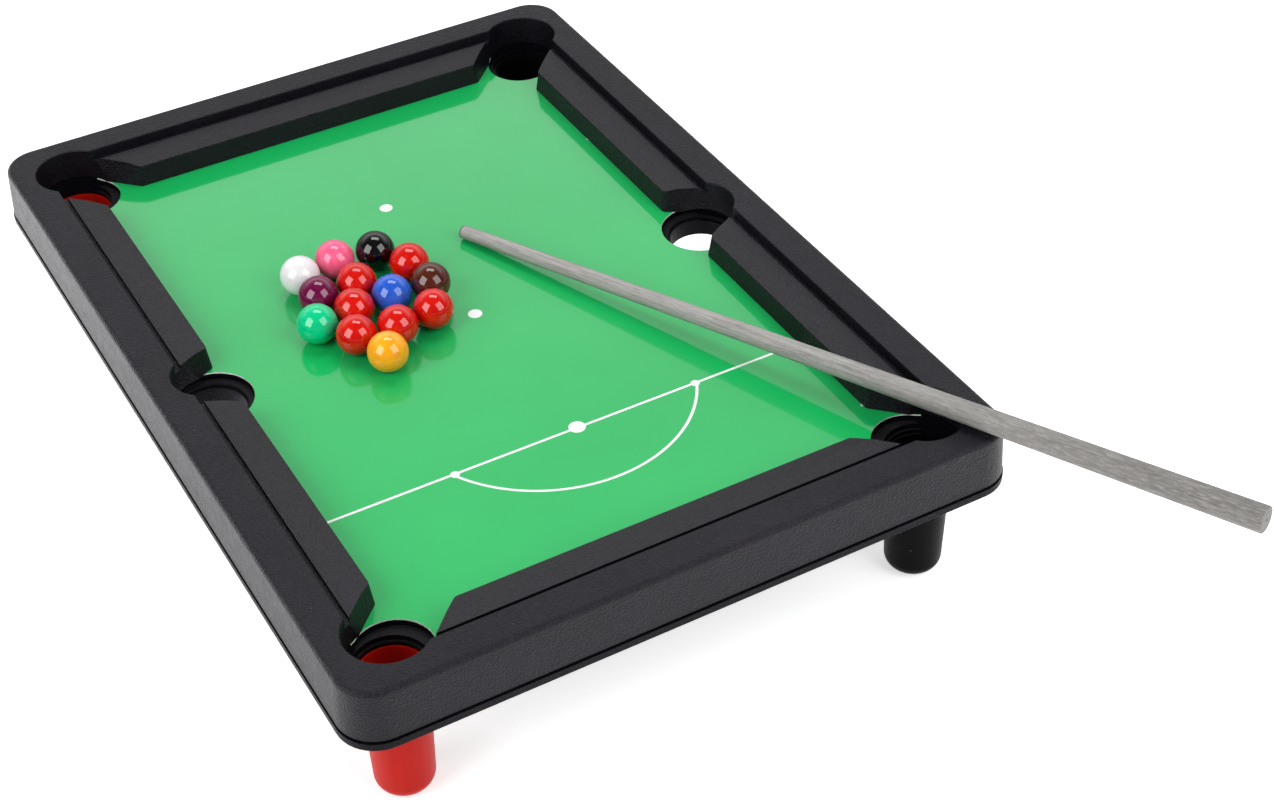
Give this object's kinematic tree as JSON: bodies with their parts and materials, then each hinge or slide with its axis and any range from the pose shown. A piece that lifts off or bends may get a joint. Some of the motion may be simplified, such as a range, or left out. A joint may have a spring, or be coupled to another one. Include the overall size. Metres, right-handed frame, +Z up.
{
  "type": "tabletop pool table",
  "caption": "Miniature pool table with cup legs, moulded cushions and pockets, a printed playing surface, loose balls and a cue",
  "frame": {"origin": "on the floor under the middle of the table, level with the undersides of the feet", "axes": "+X along the table's length towards the baulk end, +Y across to the right-hand side seen from that end, +Z up"},
  "size_m": [0.3737, 0.2433, 0.0728],
  "materials": {
    "black_frame": "fine grained satin",
    "black_leg": "satin",
    "red_leg": "satin",
    "printed_card": "gloss laminated green print with white lines",
    "screw_steel": "zinc plated",
    "cue_wood": "grey painted, matte",
    "white_ball": "polished",
    "pink_ball": "polished",
    "black_ball": "polished",
    "brown_ball": "polished",
    "purple_ball": "polished",
    "blue_ball": "polished",
    "green_ball": "polished",
    "yellow_ball": "polished",
    "red_ball": "polished"
  },
  "bodies": {
    "table": {"top_frame": "black_frame", "base_tray": "black_frame", "playfield_sheet": "printed_card", "base_screws": "screw_steel", "leg_baulk_left": "red_leg", "leg_top_left": "red_leg", "leg_baulk_right": "black_leg", "leg_top_right": "black_leg"},
    "ball_black_body": {"ball_black": "black_ball"},
    "ball_blue_body": {"ball_blue": "blue_ball"},
    "ball_brown_body": {"ball_brown": "brown_ball"},
    "ball_green_body": {"ball_green": "green_ball"},
    "ball_pink_body": {"ball_pink": "pink_ball"},
    "ball_purple_body": {"ball_purple": "purple_ball"},
    "ball_red_1_body": {"ball_red_1": "red_ball"},
    "ball_red_2_body": {"ball_red_2": "red_ball"},
    "ball_red_3_body": {"ball_red_3": "red_ball"},
    "ball_red_4_body": {"ball_red_4": "red_ball"},
    "ball_red_5_body": {"ball_red_5": "red_ball"},
    "ball_red_6_body": {"ball_red_6": "red_ball"},
    "ball_white_body": {"ball_white": "white_ball"},
    "ball_yellow_body": {"ball_yellow": "yellow_ball"},
    "cue_body": {"cue": "cue_wood"}
  },
  "joints": [
    {"name": "ball_black_lift", "type": "slide", "parent": "table", "child": "ball_black_body", "axis": [0, 0, 1], "range_m": [0, 0.04]},
    {"name": "ball_blue_lift", "type": "slide", "parent": "table", "child": "ball_blue_body", "axis": [0, 0, 1], "range_m": [0, 0.04]},
    {"name": "ball_brown_lift", "type": "slide", "parent": "table", "child": "ball_brown_body", "axis": [0, 0, 1], "range_m": [0, 0.04]},
    {"name": "ball_green_lift", "type": "slide", "parent": "table", "child": "ball_green_body", "axis": [0, 0, 1], "range_m": [0, 0.04]},
    {"name": "ball_pink_lift", "type": "slide", "parent": "table", "child": "ball_pink_body", "axis": [0, 0, 1], "range_m": [0, 0.04]},
    {"name": "ball_purple_lift", "type": "slide", "parent": "table", "child": "ball_purple_body", "axis": [0, 0, 1], "range_m": [0, 0.04]},
    {"name": "ball_red_1_lift", "type": "slide", "parent": "table", "child": "ball_red_1_body", "axis": [0, 0, 1], "range_m": [0, 0.04]},
    {"name": "ball_red_2_lift", "type": "slide", "parent": "table", "child": "ball_red_2_body", "axis": [0, 0, 1], "range_m": [0, 0.04]},
    {"name": "ball_red_3_lift", "type": "slide", "parent": "table", "child": "ball_red_3_body", "axis": [0, 0, 1], "range_m": [0, 0.04]},
    {"name": "ball_red_4_lift", "type": "slide", "parent": "table", "child": "ball_red_4_body", "axis": [0, 0, 1], "range_m": [0, 0.04]},
    {"name": "ball_red_5_lift", "type": "slide", "parent": "table", "child": "ball_red_5_body", "axis": [0, 0, 1], "range_m": [0, 0.04]},
    {"name": "ball_red_6_lift", "type": "slide", "parent": "table", "child": "ball_red_6_body", "axis": [0, 0, 1], "range_m": [0, 0.04]},
    {"name": "ball_white_lift", "type": "slide", "parent": "table", "child": "ball_white_body", "axis": [0, 0, 1], "range_m": [0, 0.04]},
    {"name": "ball_yellow_lift", "type": "slide", "parent": "table", "child": "ball_yellow_body", "axis": [0, 0, 1], "range_m": [0, 0.04]},
    {"name": "cue_stroke", "type": "slide", "parent": "table", "child": "cue_body", "axis": [0.9111, 0.4074, 0.0621], "range_m": [0, 0.3]}
  ]
}
